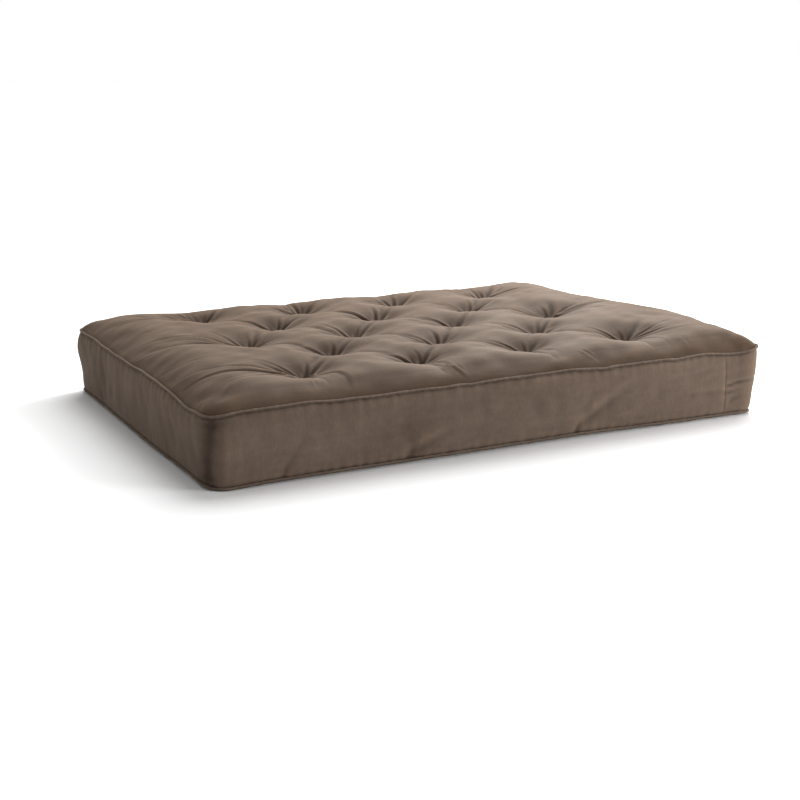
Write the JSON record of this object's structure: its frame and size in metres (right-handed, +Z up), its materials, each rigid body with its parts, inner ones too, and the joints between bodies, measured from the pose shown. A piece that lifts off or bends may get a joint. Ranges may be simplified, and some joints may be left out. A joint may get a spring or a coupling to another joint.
{
  "type": "futon mattress",
  "caption": "Full-size tufted futon mattress with a brown microsuede cover, boxed sides, welted seams, staggered tufts, a foam and felt filling, and a fold along the middle.",
  "frame": {"origin": "centre of the underside, on the deck that it rests on", "axes": "+X to the right along the front edge, +Y from the front to the back, +Z up through the tufted face"},
  "size_m": [1.905, 1.3716, 0.2668],
  "materials": {
    "cover_top": "brushed polyester microsuede with a short nap and a soft sheen",
    "cover_boxing": "the same microsuede on the boxing strips",
    "cover_bottom": "the same microsuede on the underside",
    "piping": "bias-cut microsuede over a welt cord",
    "welt_cord": "twisted white paper and polyester filler cord",
    "batting": "bonded polyester fibre batting",
    "cotton_felt": "garnetted cotton felt, off-white with seed flecks",
    "foam": "open-cell polyurethane foam, matt",
    "twine": "waxed polyester tufting twine"
  },
  "bodies": {
    "seat_section": {"top_panel_seat": "cover_top", "bottom_panel_seat": "cover_bottom", "boxing_left_seat": "cover_boxing", "boxing_right_seat": "cover_boxing", "top_piping_seat": "piping", "bottom_piping_seat": "piping", "top_welt_cord_seat": "welt_cord", "bottom_welt_cord_seat": "welt_cord", "lower_batting_seat": "batting", "lower_felt_seat": "cotton_felt", "foam_core_seat": "foam", "upper_felt_seat": "cotton_felt", "upper_batting_seat": "batting", "tuft_tie_row1_1": "twine", "tuft_tie_row1_2": "twine", "tuft_tie_row1_3": "twine", "tuft_tie_row1_4": "twine", "tuft_tie_row2_1": "twine", "tuft_tie_row2_2": "twine", "tuft_tie_row2_3": "twine", "tuft_tie_row3_1": "twine", "tuft_tie_row3_2": "twine", "tuft_tie_row3_3": "twine", "tuft_tie_row3_4": "twine"},
    "back_section": {"top_panel_back": "cover_top", "bottom_panel_back": "cover_bottom", "boxing_left_back": "cover_boxing", "boxing_right_back": "cover_boxing", "top_piping_back": "piping", "bottom_piping_back": "piping", "top_welt_cord_back": "welt_cord", "bottom_welt_cord_back": "welt_cord", "lower_batting_back": "batting", "lower_felt_back": "cotton_felt", "foam_core_back": "foam", "upper_felt_back": "cotton_felt", "upper_batting_back": "batting", "tuft_tie_row4_1": "twine", "tuft_tie_row4_2": "twine", "tuft_tie_row4_3": "twine", "tuft_tie_row5_1": "twine", "tuft_tie_row5_2": "twine", "tuft_tie_row5_3": "twine", "tuft_tie_row5_4": "twine"}
  },
  "joints": [
    {"name": "fold", "type": "hinge", "parent": "seat_section", "child": "back_section", "pos_m": [0, 0, 0.248], "axis": [1, 0, 0], "range_deg": [0, 75]}
  ]
}
